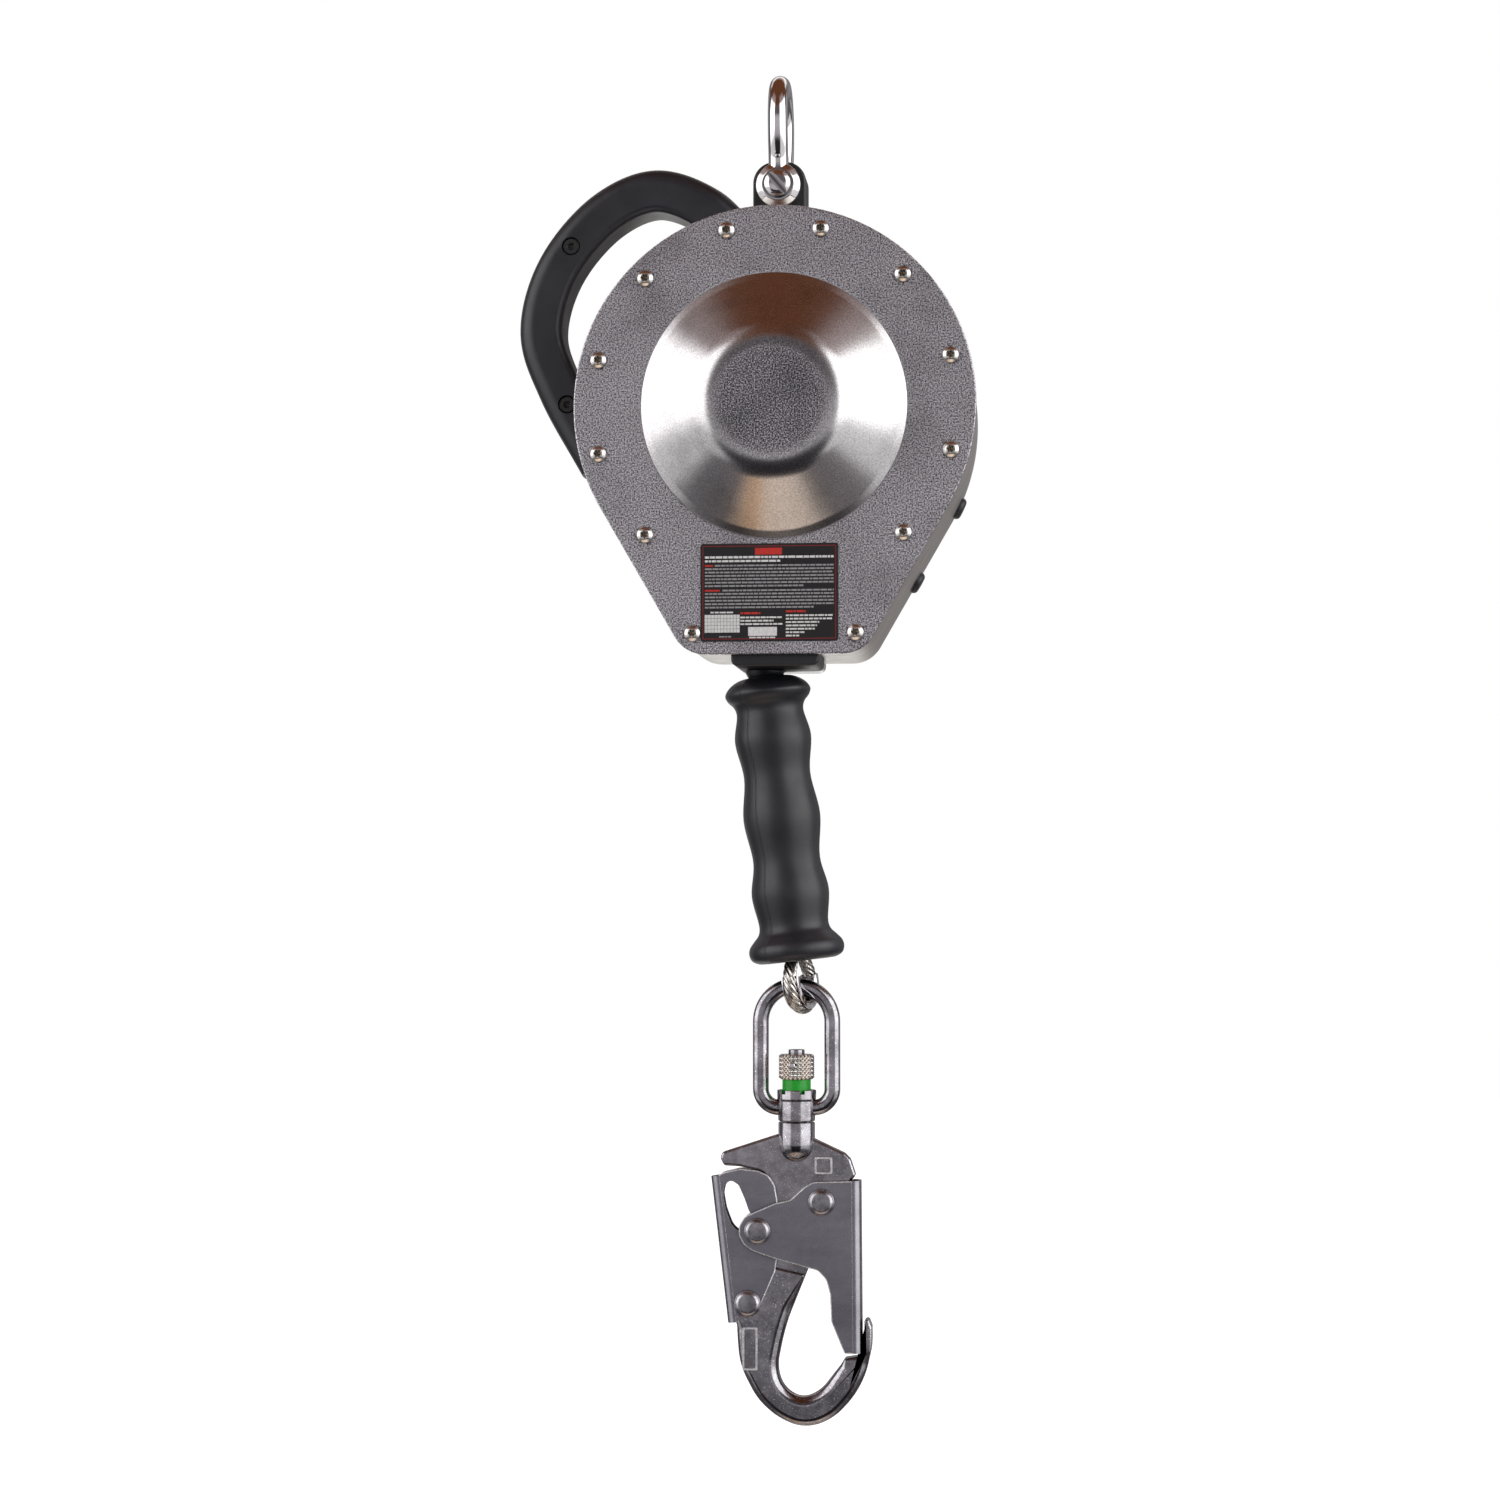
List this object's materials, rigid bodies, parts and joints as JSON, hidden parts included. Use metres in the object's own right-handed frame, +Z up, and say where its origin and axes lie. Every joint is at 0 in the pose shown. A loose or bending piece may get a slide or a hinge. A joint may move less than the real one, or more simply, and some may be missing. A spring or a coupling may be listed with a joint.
{
  "type": "self retracting lifeline",
  "caption": "Cable fall-arrest block in a domed steel housing that hangs from a shackle, with a carry handle, a rubber-gripped steel lifeline and a swivel snap hook.",
  "frame": {"origin": "inside of the shackle's crown, where the anchor bears", "axes": "+Z up towards the anchor, -Y out of the front cover, +X to the viewer's right, drum axis along Y"},
  "size_m": [0.2122, 0.116, 0.6205],
  "materials": {
    "blasted_steel": "bead blasted, speckled",
    "side_wall": "dull rolled sheet",
    "polished_steel": "polished",
    "forged_steel": "forged and bright plated",
    "sheet_steel": "pressed, satin",
    "zinc_steel": "zinc plated",
    "wire_rope": "galvanised strands",
    "black_rubber": "satin moulded rubber",
    "black_plastic": "matt black",
    "rating_plate": "printed foil, blank fields",
    "indicator_green": "bright green",
    "aluminium": "cast and pressed",
    "friction_lining": "pressed fibre",
    "spring_steel": "blued strip"
  },
  "bodies": {
    "shackle": {"shackle_bow": "polished_steel", "shackle_pin": "polished_steel"},
    "housing": {"front_cover": "blasted_steel", "rear_cover": "blasted_steel", "front_gasket": "black_rubber", "rear_gasket": "black_rubber", "housing_shell": "side_wall", "side_plug_1": "black_rubber", "side_plug_2": "black_rubber", "cover_screw_01": "zinc_steel", "cover_screw_02": "zinc_steel", "cover_screw_03": "zinc_steel", "cover_screw_04": "zinc_steel", "cover_screw_05": "zinc_steel", "cover_screw_06": "zinc_steel", "cover_screw_07": "zinc_steel", "cover_screw_08": "zinc_steel", "cover_screw_09": "zinc_steel", "cover_screw_10": "zinc_steel", "cover_screw_11": "zinc_steel", "cover_screw_12": "zinc_steel", "rating_plate": "rating_plate", "nozzle_guard": "black_rubber", "nozzle_bush": "black_plastic", "carry_handle": "black_rubber", "handle_screw_1": "black_plastic", "handle_screw_2": "black_plastic", "anchor_lug": "black_plastic", "load_plate_front": "zinc_steel", "load_plate_rear": "zinc_steel", "cross_bolt": "zinc_steel", "frame_spacer": "zinc_steel", "spring_case": "black_plastic", "mainspring": "spring_steel", "drum_shaft": "zinc_steel", "brake_lining": "friction_lining", "cable_run": "wire_rope"},
    "drum": {"cable_drum": "aluminium", "cable_pack": "wire_rope", "pawl_pin_1": "zinc_steel", "pawl_pin_2": "zinc_steel"},
    "pawl_a": {"pawl_1": "forged_steel"},
    "pawl_b": {"pawl_2": "forged_steel"},
    "slip_ring": {"brake_ring": "forged_steel"},
    "lead": {"cable_lead": "wire_rope"},
    "handgrip": {"grip": "black_rubber", "rope_ferrule": "aluminium", "thimble": "polished_steel", "cable_eye": "wire_rope"},
    "link": {"swivel_link": "forged_steel"},
    "hook": {"hook_body": "forged_steel", "swivel_stud": "forged_steel", "knurled_nut": "polished_steel", "nut_pin": "polished_steel", "load_indicator_band": "indicator_green", "gate_rivet": "polished_steel", "lever_rivet": "polished_steel"},
    "gate_leaf": {"gate": "sheet_steel", "gate_pin": "polished_steel"},
    "lever": {"lock_lever": "sheet_steel"}
  },
  "joints": [
    {"name": "shackle_swing", "type": "hinge", "parent": "shackle", "child": "housing", "pos_m": [0, 0, -0.0448], "axis": [0, 1, 0], "range_deg": [-80, 65]},
    {"name": "cable_swing", "type": "hinge", "parent": "housing", "child": "lead", "pos_m": [-0.0076, 0, -0.265], "axis": [0, 1, 0], "range_deg": [-5, 14]},
    {"name": "lifeline_payout", "type": "slide", "parent": "lead", "child": "handgrip", "axis": [0.1115, 0, -0.9938], "range_m": [0, 0.376], "stiffness_N_per_m": 20, "springref_m": -1.5, "deforming": ["cable_lead"]},
    {"name": "link_swing", "type": "hinge", "parent": "handgrip", "child": "link", "pos_m": [0.0069, 0, -0.4116], "axis": [1, 0, 0], "range_deg": [-45, 45]},
    {"name": "hook_swivel", "type": "hinge", "parent": "link", "child": "hook", "pos_m": [0.0069, 0, -0.466], "axis": [0, 0, 1], "continuous": true},
    {"name": "gate_swing", "type": "hinge", "parent": "hook", "child": "gate_leaf", "pos_m": [0.0186, 0, -0.5097], "axis": [0, 1, 0], "range_deg": [0, 22], "stiffness_Nm_per_rad": 0.08, "springref_deg": -57.3},
    {"name": "lever_squeeze", "type": "hinge", "parent": "hook", "child": "lever", "pos_m": [-0.0152, 0, -0.5559], "axis": [0, 1, 0], "range_deg": [0, 12]},
    {"name": "drum_spin", "type": "hinge", "parent": "housing", "child": "drum", "pos_m": [0, 0, -0.15], "axis": [0, -1, 0], "range_deg": [0, 361]},
    {"name": "pawl_1_swing", "type": "hinge", "parent": "drum", "child": "pawl_a", "pos_m": [0.038, 0.0201, -0.15], "axis": [0, 1, 0], "range_deg": [0, 20], "stiffness_Nm_per_rad": 0.02, "springref_deg": -22.92},
    {"name": "pawl_2_swing", "type": "hinge", "parent": "drum", "child": "pawl_b", "pos_m": [-0.038, 0.0201, -0.15], "axis": [0, 1, 0], "range_deg": [0, 20], "stiffness_Nm_per_rad": 0.02, "springref_deg": -22.92},
    {"name": "brake_slip", "type": "hinge", "parent": "housing", "child": "slip_ring", "pos_m": [0, 0.0206, -0.15], "axis": [0, 1, 0], "continuous": true}
  ],
  "couplings": [
    {"joint": "lever_squeeze", "follows": "gate_swing", "ratio": 0.5454},
    {"joint": "drum_spin", "follows": "lifeline_payout", "rad_per_m": 16.667}
  ]
}
